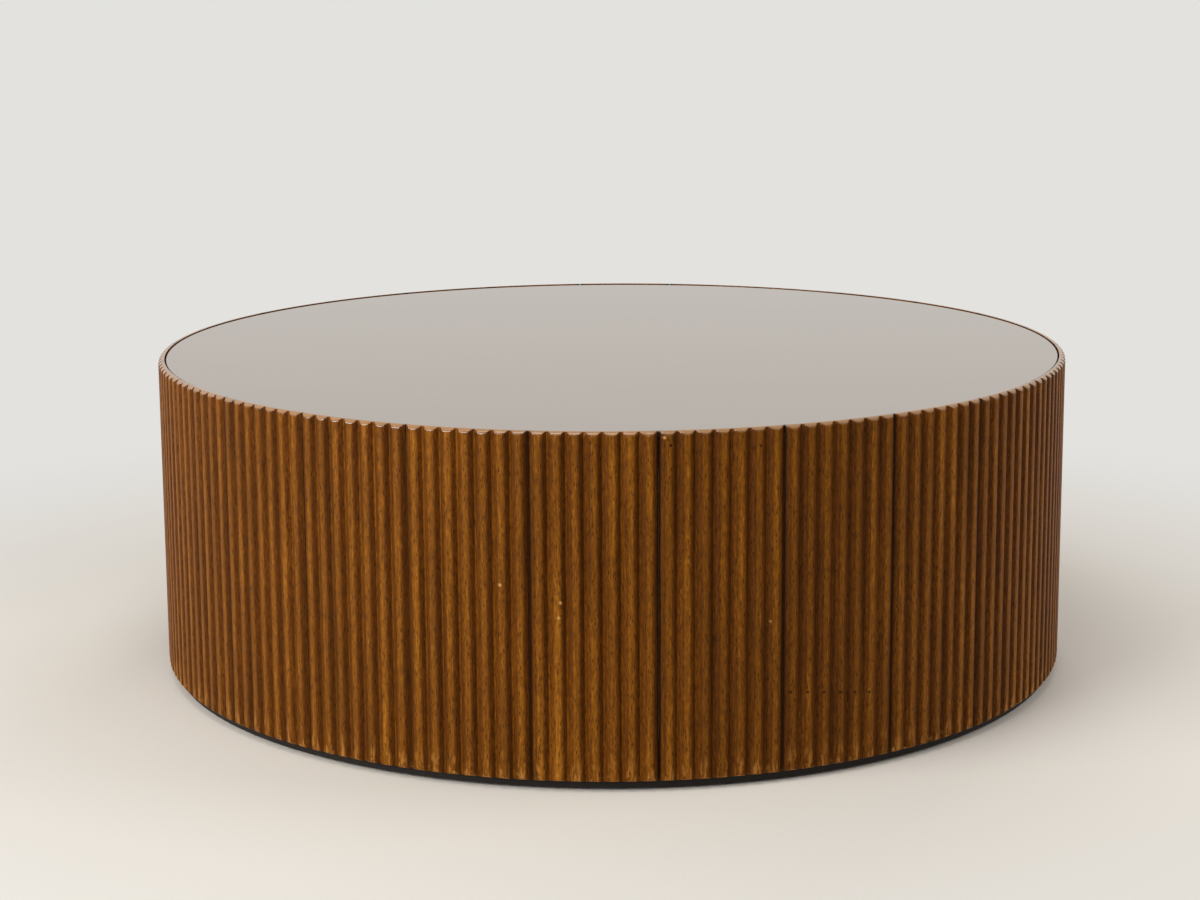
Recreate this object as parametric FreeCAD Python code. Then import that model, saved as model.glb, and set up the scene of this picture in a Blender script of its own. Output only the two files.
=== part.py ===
# Round drum coffee table: reeded staves round a top panel and a base ring, with a lift-out mirror top.
# Millimetres, +Z up. The origin is on the floor at the drum's axis, and the front faces -Y.
import FreeCAD, Part
import math
import os

# Drum
DRUM_DIAMETER = 1067.0  # over the reed crowns
DRUM_HEIGHT = 368.0  # floor to the rim's top
FLOOR_REVEAL = 11.0  # shadow gap between the floor and the wall

# Staves: flat-backed boards whose faces carry reeds on the drum's circle
STAVE_COUNT = 26
REEDS_PER_STAVE = 7
STAVE_THICKNESS = 24.0  # crown to flat back at mid width
REED_DEPTH = 4.0
REED_QUIRK = 1.2  # flat strip between two reeds
REED_SHOULDER = 2.5  # radius between a reed's crown and its flank
FLANK_SLOPE = math.radians(45)  # a reed's straight flank against its face
CROWN_SLOPE = math.radians(10)  # where a reed's crown runs into its shoulder
SEAM_GAP = 0.9  # open joint between two staves
TOP_ROUND = 5.5  # rounding of the rim's outer edge
FOOT_ROUND = 3.8  # rounding of the wall's lower outer edge
ROUND_BREAK = 0.05  # a rounding stops this short of running flush into its faces

# Splines across the seams
SPLINE_THICKNESS = 4.0
SPLINE_WIDTH = 14.0  # across the seam
SPLINE_COVER = 4.5  # wood between the spline and the reeds' valleys
SPLINE_STOP = 12.0  # wood between a spline's end and the nearest housing
SPLINE_CLEARANCE = 0.15

# Mirror top
RIM_WIDTH = 7.0  # crown to the mirror's recess
MIRROR_GAP = 1.4  # round the mirror's edge
MIRROR_DROP = 1.0  # mirror face below the rim
MIRROR_THICKNESS = 6.0
MIRROR_ARRIS = 0.8
PAD_DIAMETER = 20.0
PAD_THICKNESS = 1.5
PAD_EDGE_INSET = 60.0  # outer pads' centres inside the mirror's edge
PAD_OUTER_COUNT = 12
PAD_INNER_COUNT = 6

# Top panel and its cross battens
TOP_PANEL_THICKNESS = 18.0
PANEL_RABBET = 6.0  # how far the panel's edge enters a stave
BATTEN_WIDTH = 60.0
BATTEN_DEPTH = 36.0
BATTEN_END_GAP = 4.0
BATTEN_SCREW_OUTER = 60.0  # outer screw to the batten's end
BATTEN_SCREW_INNER = 150.0  # inner screw to the drum's axis
LAP_CLEARANCE = 0.2

# Base ring
PLINTH_SEGMENTS = 6
RING_SEGMENTS = 2 * PLINTH_SEGMENTS
RING_THICKNESS = 18.0
RING_WIDTH = 80.0
RING_RISE = 12.0  # ring's underside above the wall's lower edge
RING_HOUSING = 6.0  # how far the ring enters a stave
DOWEL_DIAMETER = 8.0
DOWEL_LENGTH = 50.0
DOWEL_EDGE = 20.0  # dowel to the ring's edge
DOWEL_CLEARANCE = 0.1
DOWEL_END_GAP = 1.0

# Plinth and glides
PLINTH_INSET = 50.0  # crown to the plinth's face
PLINTH_WIDTH = 45.0
LEDGE_INSET = 8.0  # crown to the edge of the plinth's ledge, on which the staves stand
GLIDE_DIAMETER = 24.0
GLIDE_THICKNESS = 3.0
GLIDE_RECESS = 1.6  # counterbore for the nail's head
NAIL_DIAMETER = 2.4
NAIL_HEAD_DIAMETER = 6.4
NAIL_HEAD_THICKNESS = 1.0
NAIL_BITE = 11.0  # into the plinth

# Screws
SCREW_DIAMETER = 4.0
SCREW_HEAD_DIAMETER = 8.0
SCREW_HEAD_DEPTH = 2.6
SCREW_POINT = 5.0
SCREW_SINK = 0.5  # head below the surface
SCREW_BITE = 12.0  # into the second piece
SCREW_SPREAD = 80.0  # between a ring segment's two screws
FASTENER_CLEARANCE = 0.1

GLUE_LINE = 0.2  # between glued faces that only lie beside each other

# Radii and heights that follow from the sizes above
CROWN_RADIUS = DRUM_DIAMETER / 2
VALLEY_RADIUS = CROWN_RADIUS - REED_DEPTH
BACK = CROWN_RADIUS - STAVE_THICKNESS
SEAT_RADIUS = CROWN_RADIUS - RIM_WIDTH
MIRROR_RADIUS = SEAT_RADIUS - MIRROR_GAP
SPLINE_RADIUS = VALLEY_RADIUS - SPLINE_COVER - SPLINE_THICKNESS / 2
RING_APOTHEM = BACK + RING_HOUSING - GLUE_LINE
RING_INNER_RADIUS = RING_APOTHEM - RING_WIDTH
PLINTH_RADIUS = CROWN_RADIUS - PLINTH_INSET
PLINTH_INNER_RADIUS = PLINTH_RADIUS - PLINTH_WIDTH
PLINTH_MID_RADIUS = PLINTH_RADIUS - PLINTH_WIDTH / 2
LEDGE_RADIUS = CROWN_RADIUS - LEDGE_INSET

MIRROR_BOTTOM = DRUM_HEIGHT - MIRROR_DROP - MIRROR_THICKNESS
PANEL_TOP = MIRROR_BOTTOM - PAD_THICKNESS
PANEL_BOTTOM = PANEL_TOP - TOP_PANEL_THICKNESS
BATTEN_BOTTOM = PANEL_BOTTOM - BATTEN_DEPTH
RING_BOTTOM = FLOOR_REVEAL + RING_RISE
RING_TOP = RING_BOTTOM + RING_THICKNESS
PLINTH_HEIGHT = RING_BOTTOM - GLIDE_THICKNESS
LEDGE_TOP = FLOOR_REVEAL - GLUE_LINE

STAVE_PITCH = 2 * math.pi / STAVE_COUNT
RING_PITCH = 2 * math.pi / RING_SEGMENTS
PLINTH_PITCH = 2 * math.pi / PLINTH_SEGMENTS
FRONT = -math.pi / 2  # direction of -Y
MARGIN = 5.0  # how far a cutting body runs past what it cuts
UP = FreeCAD.Vector(0, 0, 1)
ORIGIN = FreeCAD.Vector(0, 0, 0)


def polar(radius, angle, z=0.0):
    """Point at a radius and angle round the drum's axis."""
    return FreeCAD.Vector(radius * math.cos(angle), radius * math.sin(angle), z)


def turned(shape, angle):
    """Copy of a shape turned about the drum's axis."""
    copy = shape.copy()
    copy.rotate(ORIGIN, UP, math.degrees(angle))
    return copy


def moved(shape, x, y, z):
    """Copy of a shape moved by x, y, z."""
    copy = shape.copy()
    copy.translate(FreeCAD.Vector(x, y, z))
    return copy


def lathe(edges):
    """Solid of revolution about Z from closed edges in the XZ plane, with its seam on -X."""
    solid = Part.Face(Part.Wire(edges)).revolve(ORIGIN, UP, 360)
    return turned(solid, math.pi)


def chain(points):
    """Straight edges through points given as (radius, height), closed back to the first."""
    corners = [FreeCAD.Vector(r, 0, z) for r, z in points]
    corners.append(corners[0])
    return [Part.makeLine(a, b) for a, b in zip(corners, corners[1:])]


def disc(radius, bottom, top):
    """Upright cylinder on the drum's axis, with its seam on -X."""
    return turned(Part.makeCylinder(radius, top - bottom, FreeCAD.Vector(0, 0, bottom)), math.pi)


def block(x0, x1, y0, y1, z0, z1):
    """Box between two corners."""
    return Part.makeBox(x1 - x0, y1 - y0, z1 - z0, FreeCAD.Vector(x0, y0, z0))


def polygon_plate(apothem, bottom, top):
    """Plate with one flat edge for each stave."""
    radius = apothem / math.cos(STAVE_PITCH / 2)
    angles = [FRONT + (k + 0.5) * STAVE_PITCH for k in range(STAVE_COUNT + 1)]
    outline = Part.makePolygon([polar(radius, a, bottom) for a in angles])
    return Part.Face(outline).extrude(UP * (top - bottom))


def sector(start, end, bottom, top):
    """Wedge from the drum's axis between two angles, wider than the drum."""
    reach = 2 * CROWN_RADIUS
    corners = [FreeCAD.Vector(0, 0, bottom), polar(reach, start, bottom), polar(reach, end, bottom)]
    outline = Part.makePolygon(corners + corners[:1])
    return Part.Face(outline).extrude(UP * (top - bottom))


def save(node, *solids):
    """Write one node: a single solid, or a group of separate ones."""
    shape = solids[0] if len(solids) == 1 else Part.makeCompound(list(solids))
    shape.exportStep(f"parts/{node}.step")
    box = shape.BoundBox
    print(f"{node}: {len(shape.Solids)} solids, valid {shape.isValid()}, "
          f"{shape.Volume / 1000:.1f} cm3, z {box.ZMin:.2f} to {box.ZMax:.2f}")


def screw_section(length, clearance, entry):
    """Half section of a countersunk screw on its head, grown by a clearance for its hole."""
    head = SCREW_HEAD_DIAMETER / 2 + clearance
    shank = SCREW_DIAMETER / 2 + clearance
    points = [(0, -entry), (head, -entry)]
    if entry:
        points.append((head, 0))
    points += [(shank, SCREW_HEAD_DEPTH), (shank, length - SCREW_POINT + clearance)]
    points.append((0, length + clearance))
    return chain(points)


def screw(length):
    """Countersunk screw standing on its head."""
    return lathe(screw_section(length, 0, 0))


def screw_hole(length):
    """Hole for that screw, open below its head."""
    return lathe(screw_section(length, FASTENER_CLEARANCE, MARGIN))


# Staves

def on_arc(centre, radius, slope):
    """Point of a section's arc at a slope; x runs across the reed and y outwards."""
    return centre[0] - radius * math.sin(slope), centre[1] + radius * math.cos(slope)


def reed_edges(middle, half_angle):
    """Edges of one reed about a middle angle: flank, shoulder, crown, shoulder, flank."""
    foot_radius = VALLEY_RADIUS * math.cos(half_angle)
    half_width = VALLEY_RADIUS * math.sin(half_angle)
    rise = CROWN_RADIUS - foot_radius
    grade = math.tan(FLANK_SLOPE)
    shoulder_width = REED_SHOULDER * (math.sin(FLANK_SLOPE) - math.sin(CROWN_SLOPE))
    shoulder_rise = REED_SHOULDER * (math.cos(CROWN_SLOPE) - math.cos(FLANK_SLOPE))
    crown_radius = (((half_width - shoulder_width) * grade - rise + shoulder_rise)
                    / (math.sin(CROWN_SLOPE) * grade - 1 + math.cos(CROWN_SLOPE)))
    flank = half_width - shoulder_width - crown_radius * math.sin(CROWN_SLOPE)
    shoulder = (REED_SHOULDER * math.sin(FLANK_SLOPE) + flank - half_width,
                flank * grade - REED_SHOULDER * math.cos(FLANK_SLOPE))
    half_outline = [(-half_width, 0)]
    half_outline += [on_arc(shoulder, REED_SHOULDER, slope)
                     for slope in (FLANK_SLOPE, (FLANK_SLOPE + CROWN_SLOPE) / 2, CROWN_SLOPE)]
    outline = half_outline + [(0, rise)] + [(-x, y) for x, y in reversed(half_outline)]
    outwards = polar(1, middle)
    across = polar(1, middle + math.pi / 2)
    p = [outwards * (foot_radius + y) + across * x for x, y in outline]
    arcs = [Part.Arc(p[i], p[i + 1], p[i + 2]).toShape() for i in (1, 3, 5)]
    return [Part.makeLine(p[0], p[1]), *arcs, Part.makeLine(p[7], p[8])]


def stave_section():
    """Section of one stave, centred on +X: reeds outside, seam edges at the sides, flat back."""
    half = STAVE_PITCH / 2
    reach = half - math.asin(SEAM_GAP / 2 / VALLEY_RADIUS)
    reed = 2 * reach / REEDS_PER_STAVE
    quirk = REED_QUIRK / 2 / VALLEY_RADIUS
    back_corner = BACK * math.tan(half) - SEAM_GAP / 2 / math.cos(half)
    right = FreeCAD.Vector(BACK, -back_corner, 0)
    left = FreeCAD.Vector(BACK, back_corner, 0)
    last = polar(VALLEY_RADIUS, -reach)
    edges = [Part.makeLine(right, last)]
    for i in range(REEDS_PER_STAVE):
        start = -reach + i * reed
        edges.append(Part.makeLine(last, polar(VALLEY_RADIUS, start + quirk)))
        edges += reed_edges(start + reed / 2, reed / 2 - quirk)
        last = polar(VALLEY_RADIUS, start + reed - quirk)
    corner = polar(VALLEY_RADIUS, reach)
    edges += [Part.makeLine(last, corner), Part.makeLine(corner, left), Part.makeLine(left, right)]
    return Part.Face(Part.Wire(edges))


def rounding_cutter(edge_z, radius, way):
    """Ring that rounds the wall's outer edge at a height; way is 1 for an upper edge, -1 for a lower one."""
    centre_r = CROWN_RADIUS - radius + ROUND_BREAK
    centre_z = edge_z - way * (radius - ROUND_BREAK)
    diagonal = radius / math.sqrt(2)
    outside = CROWN_RADIUS + MARGIN
    beyond = edge_z + way * MARGIN
    inner_end = FreeCAD.Vector(centre_r, 0, centre_z + way * radius)
    middle = FreeCAD.Vector(centre_r + diagonal, 0, centre_z + way * diagonal)
    outer_end = FreeCAD.Vector(centre_r + radius, 0, centre_z)
    corners = [outer_end, FreeCAD.Vector(outside, 0, centre_z), FreeCAD.Vector(outside, 0, beyond),
               FreeCAD.Vector(centre_r, 0, beyond), inner_end]
    edges = [Part.Arc(inner_end, middle, outer_end).toShape()]
    edges += [Part.makeLine(a, b) for a, b in zip(corners, corners[1:])]
    return lathe(edges)


def spline_slot(clearance):
    """Spline, or the slot for it, lying across a seam on +X."""
    half_thick = SPLINE_THICKNESS / 2 + clearance
    half_wide = SPLINE_WIDTH / 2 + clearance
    low = RING_TOP + SPLINE_STOP - clearance
    high = PANEL_BOTTOM - SPLINE_STOP + clearance
    return block(SPLINE_RADIUS - half_thick, SPLINE_RADIUS + half_thick, -half_wide, half_wide, low, high)


def make_stave():
    """One stave on +X, with its seats for the mirror, top panel, base ring and splines."""
    body = stave_section().extrude(UP * (DRUM_HEIGHT - FLOOR_REVEAL))
    body.translate(UP * FLOOR_REVEAL)
    width = BACK * STAVE_PITCH
    inside = BACK - MARGIN
    above = DRUM_HEIGHT + MARGIN
    slot = spline_slot(SPLINE_CLEARANCE)
    return body.cut([
        block(inside, BACK + PANEL_RABBET, -width, width, PANEL_BOTTOM, above),
        block(inside, BACK + RING_HOUSING, -width, width, RING_BOTTOM, RING_TOP + GLUE_LINE),
        disc(SEAT_RADIUS, PANEL_TOP, above),
        rounding_cutter(DRUM_HEIGHT, TOP_ROUND, 1),
        rounding_cutter(FLOOR_REVEAL, FOOT_ROUND, -1),
        turned(slot, STAVE_PITCH / 2),
        turned(slot, -STAVE_PITCH / 2),
    ]).Solids[0]


def save_staves():
    stave = make_stave()
    for k in range(STAVE_COUNT):
        save(f"stave_{k + 1:02d}", turned(stave, FRONT + k * STAVE_PITCH))
    spline = spline_slot(0)
    save("stave_splines", *[turned(spline, FRONT + (k + 0.5) * STAVE_PITCH) for k in range(STAVE_COUNT)])


# Mirror top

def save_mirror():
    rim = MIRROR_RADIUS - MIRROR_ARRIS
    section = chain([(0, 0), (rim, 0), (MIRROR_RADIUS, MIRROR_ARRIS),
                     (MIRROR_RADIUS, MIRROR_THICKNESS - MIRROR_ARRIS), (rim, MIRROR_THICKNESS),
                     (0, MIRROR_THICKNESS)])
    save("mirror_glass", moved(lathe(section), 0, 0, MIRROR_BOTTOM))


def save_pads():
    outer = MIRROR_RADIUS - PAD_EDGE_INSET
    places = [ORIGIN]
    for radius, count in ((outer / 2, PAD_INNER_COUNT), (outer, PAD_OUTER_COUNT)):
        places += [polar(radius, FRONT + 2 * math.pi * i / count) for i in range(count)]
    save("mirror_pads", *[Part.makeCylinder(PAD_DIAMETER / 2, PAD_THICKNESS, p + UP * PANEL_TOP)
                          for p in places])


# Top panel and battens

def batten_screw_offsets():
    """Screw places along a batten, from the drum's axis."""
    outer = BACK - BATTEN_END_GAP - BATTEN_SCREW_OUTER
    return [-outer, -BATTEN_SCREW_INNER, BATTEN_SCREW_INNER, outer]


def batten_screw_places():
    """Screw heads' places under the two battens, the first along X."""
    z = BATTEN_BOTTOM + SCREW_SINK
    along_x = [(d, 0, z) for d in batten_screw_offsets()]
    along_y = [(0, d, z) for d in batten_screw_offsets()]
    return along_x, along_y


def save_top_panel_and_battens():
    length = BATTEN_DEPTH - SCREW_SINK + SCREW_BITE
    hole = screw_hole(length)
    along_x, along_y = batten_screw_places()
    holes = [moved(hole, *p) for p in along_x + along_y]
    panel = polygon_plate(BACK + PANEL_RABBET - GLUE_LINE, PANEL_BOTTOM, PANEL_TOP)
    save("top_panel", panel.cut(holes).Solids[0])

    reach = BACK - BATTEN_END_GAP
    side = BATTEN_WIDTH / 2
    lap = side + LAP_CLEARANCE
    middle = BATTEN_BOTTOM + BATTEN_DEPTH / 2
    upper_lap = block(-lap, lap, -lap, lap, BATTEN_BOTTOM - MARGIN, middle + LAP_CLEARANCE / 2)
    lower_lap = block(-lap, lap, -lap, lap, middle - LAP_CLEARANCE / 2, PANEL_BOTTOM + MARGIN)
    batten_x = block(-reach, reach, -side, side, BATTEN_BOTTOM, PANEL_BOTTOM)
    batten_y = block(-side, side, -reach, reach, BATTEN_BOTTOM, PANEL_BOTTOM)
    save("batten_x", batten_x.cut([upper_lap] + holes[:len(along_x)]).Solids[0])
    save("batten_y", batten_y.cut([lower_lap] + holes[len(along_x):]).Solids[0])
    save("batten_screws", *[moved(screw(length), *p) for p in along_x + along_y])


# Base ring, plinth and glides

def ring_joint(i):
    """Angle of the joint before ring segment i."""
    return FRONT + i * RING_PITCH


def ring_dowels(clearance, end_gap):
    """Dowels across the ring's joints, or the holes for them."""
    length = DOWEL_LENGTH + 2 * end_gap
    z = RING_BOTTOM + RING_THICKNESS / 2
    solids = []
    for i in range(RING_SEGMENTS):
        tangent = polar(1, ring_joint(i) + math.pi / 2)
        for radius in (RING_INNER_RADIUS + DOWEL_EDGE, RING_APOTHEM - DOWEL_EDGE):
            start = polar(radius, ring_joint(i), z) - tangent * (length / 2)
            solids.append(Part.makeCylinder(DOWEL_DIAMETER / 2 + clearance, length, start, tangent))
    return solids


def plinth_screw_places():
    """Screw heads' places under the plinth, two for each ring segment and clear of every joint."""
    spread = SCREW_SPREAD / 2 / PLINTH_MID_RADIUS
    z = GLIDE_THICKNESS + SCREW_SINK
    places = []
    for i in range(RING_SEGMENTS):
        centre = ring_joint(i + 0.5)
        places += [polar(PLINTH_MID_RADIUS, centre + side * spread, z) for side in (-1, 1)]
    return places


def nail_section(clearance, entry):
    """Half section of a glide nail on its head, grown by a clearance for its hole."""
    head = NAIL_HEAD_DIAMETER / 2 + clearance
    shank = NAIL_DIAMETER / 2 + clearance
    top = NAIL_HEAD_THICKNESS + GLIDE_THICKNESS - GLIDE_RECESS + NAIL_BITE + clearance
    return chain([(0, -entry), (head, -entry), (head, NAIL_HEAD_THICKNESS),
                  (shank, NAIL_HEAD_THICKNESS), (shank, top), (0, top)])


def save_base():
    dowel_holes = ring_dowels(DOWEL_CLEARANCE, DOWEL_END_GAP)
    length = PLINTH_HEIGHT - SCREW_SINK + SCREW_BITE
    places = plinth_screw_places()
    screw_holes = [moved(screw_hole(length), *p) for p in places]
    ring = polygon_plate(RING_APOTHEM, RING_BOTTOM, RING_TOP)
    ring = ring.cut([disc(RING_INNER_RADIUS, RING_BOTTOM - MARGIN, RING_TOP + MARGIN)])
    ring = ring.cut(dowel_holes + screw_holes)
    ease = GLUE_LINE / 2 / RING_APOTHEM
    for i in range(RING_SEGMENTS):
        wedge = sector(ring_joint(i) + ease, ring_joint(i + 1) - ease,
                       RING_BOTTOM - MARGIN, RING_TOP + MARGIN)
        save(f"base_ring_{i + 1:02d}", ring.common(wedge).Solids[0])
    save("ring_dowels", *ring_dowels(0, 0))
    save("plinth_screws", *[moved(screw(length), *p) for p in places])

    nail_z = GLIDE_RECESS - NAIL_HEAD_THICKNESS
    glide_places = [polar(PLINTH_MID_RADIUS, ring_joint(i)) for i in range(RING_SEGMENTS)]
    nail_hole = moved(lathe(nail_section(FASTENER_CLEARANCE, MARGIN)), 0, 0, nail_z)
    nail = moved(lathe(nail_section(0, 0)), 0, 0, nail_z)
    glide = disc(GLIDE_DIAMETER / 2, 0, GLIDE_THICKNESS).cut([nail_hole])
    nail_holes = [moved(nail_hole, *p) for p in glide_places]
    save("glide_pads", *[moved(glide, *p) for p in glide_places])
    save("glide_nails", *[moved(nail, *p) for p in glide_places])

    section = chain([(PLINTH_INNER_RADIUS, GLIDE_THICKNESS), (LEDGE_RADIUS, GLIDE_THICKNESS),
                     (LEDGE_RADIUS, LEDGE_TOP), (PLINTH_RADIUS, LEDGE_TOP),
                     (PLINTH_RADIUS, RING_BOTTOM), (PLINTH_INNER_RADIUS, RING_BOTTOM)])
    plinth = lathe(section).cut(screw_holes + nail_holes)
    for i in range(PLINTH_SEGMENTS):
        start = ring_joint(2 * i + 0.25)
        wedge = sector(start + ease, start + PLINTH_PITCH - ease, 0, RING_BOTTOM + MARGIN)
        save(f"plinth_{i + 1}", plinth.common(wedge).Solids[0])


os.makedirs("parts", exist_ok=True)
save_staves()
save_mirror()
save_pads()
save_top_panel_and_battens()
save_base()
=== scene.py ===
"""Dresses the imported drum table: reeded staves, tinted mirror, hidden joinery, floor, light and camera."""
import math
from functools import partial

import bpy
from bpy.props import FloatProperty, FloatVectorProperty, IntProperty, PointerProperty
from mathutils import Matrix, Vector


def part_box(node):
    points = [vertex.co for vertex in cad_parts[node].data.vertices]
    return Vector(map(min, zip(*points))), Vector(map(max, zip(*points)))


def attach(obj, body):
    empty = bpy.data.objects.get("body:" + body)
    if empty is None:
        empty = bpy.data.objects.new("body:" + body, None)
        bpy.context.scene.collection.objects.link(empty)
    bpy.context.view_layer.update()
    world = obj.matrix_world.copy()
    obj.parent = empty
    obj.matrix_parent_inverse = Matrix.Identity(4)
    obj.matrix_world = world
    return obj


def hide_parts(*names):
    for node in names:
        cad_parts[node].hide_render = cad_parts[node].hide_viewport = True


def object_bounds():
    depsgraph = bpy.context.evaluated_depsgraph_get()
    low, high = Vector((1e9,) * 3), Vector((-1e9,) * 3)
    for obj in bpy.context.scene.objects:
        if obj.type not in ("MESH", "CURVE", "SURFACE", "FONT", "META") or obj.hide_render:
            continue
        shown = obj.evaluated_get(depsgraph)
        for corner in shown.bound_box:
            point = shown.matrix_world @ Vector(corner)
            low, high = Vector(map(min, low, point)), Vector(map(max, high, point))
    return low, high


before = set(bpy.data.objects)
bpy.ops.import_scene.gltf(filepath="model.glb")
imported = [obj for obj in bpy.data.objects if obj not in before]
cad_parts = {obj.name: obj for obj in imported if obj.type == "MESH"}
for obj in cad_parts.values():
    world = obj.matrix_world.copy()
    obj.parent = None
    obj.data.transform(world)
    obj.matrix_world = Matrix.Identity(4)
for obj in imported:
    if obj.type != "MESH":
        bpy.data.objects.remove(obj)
CAD_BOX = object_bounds()

bl_info = {
    "name": "Reeded Drum Table",
    "version": (1, 0, 0),
    "blender": (4, 5, 0),
    "location": "3D View > Sidebar > Drum Table",
    "description": "Staves, mirror top, joinery and stage of a reeded drum table",
    "category": "Object",
}

MM = 0.001
MERGE = 0.005 * MM  # points closer than this are one point
SHARP_ANGLE = math.radians(28)  # a steeper edge between two faces stays crisp
LEVEL = 0.95  # a face lies level where its normal is at least this upright
ON_EDGE = 0.7  # a plywood edge's normal is less upright than this
PLY = 1.4 * MM  # thickness of a ply

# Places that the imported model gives
STAVE_NODES = sorted(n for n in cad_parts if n.startswith("stave_") and n[-2:].isdigit())
RING_NODES = sorted(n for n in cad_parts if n.startswith("base_ring_"))
PLINTH_NODES = sorted(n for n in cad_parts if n.startswith("plinth_") and n[-1:].isdigit())
FRONT_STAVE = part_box("stave_01")
TOP_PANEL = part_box("top_panel")
BASE_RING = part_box("base_ring_01")
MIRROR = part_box("mirror_glass")
CROWN_RADIUS = CAD_BOX[1].y
STAVE_BACK = -FRONT_STAVE[1].y
WALL_FOOT, WALL_TOP = FRONT_STAVE[0].z, FRONT_STAVE[1].z
MIRROR_RADIUS = MIRROR[1].y
STAVE_PITCH = 2 * math.pi / len(STAVE_NODES)
FRONT = -math.pi / 2  # direction of -Y

# Stage, in metres
FLOOR_RADIUS, FLOOR_CORNERS = 30, 96
FADE_START, FADE_END = 0.55, 1.5  # where the floor runs out into the backdrop, off the drum's axis
LAMP_AIM = Vector((0, 0, 0.2))

# Steps of a stave's outline and rows
SHOULDER_STEPS, CROWN_STEPS, BACK_STEPS = 3, 6, 16
ROUND_STEPS = 10  # along a rounded edge
NEAR_ROWS = (1.2, 2.6, 4.2, 6, 8.2, 11, 15)  # past a rounded edge, in millimetres
EVEN_ROWS = 30  # between the two ends below
EVEN_FOOT, EVEN_TOP = WALL_FOOT + 19 * MM, WALL_TOP - 21 * MM
ROW_ROOM = 0.2 * MM  # least room between a row and the end of its band
DENT_STEPS = 3  # from a dent's middle to its edge

# Wear of the staves, and painted shade along their seams
FOOT_WEAR, TOP_WEAR = 11 * MM, 7 * MM  # how far nicks reach from the lower and the upper edge
TOP_WEAR_SHARE = 0.55  # nicks along the upper edge, against the lower
NICK_SIZE = 7 * MM
# Painted shade along a seam: full up to the first distance, gone at the second
SEAM_SHADE_FULL, SEAM_SHADE_END = 1.0 * MM, 2.1 * MM  # off a seam's middle
FOOT_RUBBED = 34 * MM  # height of the worn zone
RAW_BEHIND = 1 * MM  # wood this far behind the valleys has no finish
RIM_CUT = 1.6 * MM  # a reed that has lost this much to the rounding is fully eased
RIM_LAND = 0.02 * MM  # a point this close to the top is on the rim's flat land
RIM_BAND, RIM_EASED = 20 * MM, 0.06  # the rim's finish: how far down, and from how much easing

# Turned pieces
MIRROR_FACETS, FELT_FACETS, SCREW_FACETS, GLIDE_FACETS = 720, 40, 28, 48  # round the axis
DOME_STEPS = 5  # from a nail head's middle to its edge
INNER_DOTS, OUTER_DOTS = 6, 12

# Marks seen on the wall: degrees round from the front stave's middle, towards +X, and millimetres above the floor
KNOCKS = [(21.6, 94.2), (23.6, 92), (25.6, 89.7), (27.6, 87.1), (29.5, 84.5), (31.4, 81.8),
          (8.2, 353.9), (18, 349.7)]
CHIPS = [(7.5, 362), (19.1, 169.9), (32.6, 56.6), (-3.6, 196.2), (-3.8, 180.8), (-10.1, 212.3)]

# How dark the painted shade along each seam is, from the one on the left of the front stave round to the right,
# and over again
SEAM_SHADE = (0.9, 1.0, 0.9, 0.85, 0.6, 0.65, 0.5, 0.7, 0.6, 0.7, 0.65, 0.45, 0.5)

# Kinds of node that come often
MATH, MIX, RANGE, NOISE = "ShaderNodeMath", "ShaderNodeMix", "ShaderNodeMapRange", "ShaderNodeTexNoise"
VECTOR, ROTATE = "ShaderNodeVectorMath", "ShaderNodeVectorRotate"
COMBINE, SPLIT = "ShaderNodeCombineXYZ", "ShaderNodeSeparateXYZ"
SAMPLE, COMPARE = "GeometryNodeSampleIndex", "FunctionNodeCompare"


def colour(code):
    """Linear RGBA of an sRGB hex code."""
    parts = [int(code[i:i + 2], 16) / 255 for i in (0, 2, 4)]
    return *(c / 12.92 if c <= 0.04045 else ((c + 0.055) / 1.055) ** 2.4 for c in parts), 1.0


def dimmed(shade, share):
    """A colour at a share of its brightness."""
    return [c * share for c in shade[:3]] + [1]


def length(name, description, millimetres):
    """A size in the sidebar, given in millimetres."""
    return FloatProperty(name=name, description=description, default=millimetres * MM, unit="LENGTH", precision=4)


def tint(name, description, code):
    """A colour in the sidebar, given as an sRGB hex code."""
    return FloatVectorProperty(name=name, description=description, default=colour(code), size=4,
                               subtype="COLOR", min=0, max=1)


def angle(name, description, degrees):
    """An angle in the sidebar, given in degrees."""
    return FloatProperty(name=name, description=description, default=math.radians(degrees), subtype="ANGLE")


def power(name, description, watts):
    """A lamp's power in the sidebar, given in watts."""
    return FloatProperty(name=name, description=description, default=watts, unit="POWER")


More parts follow.
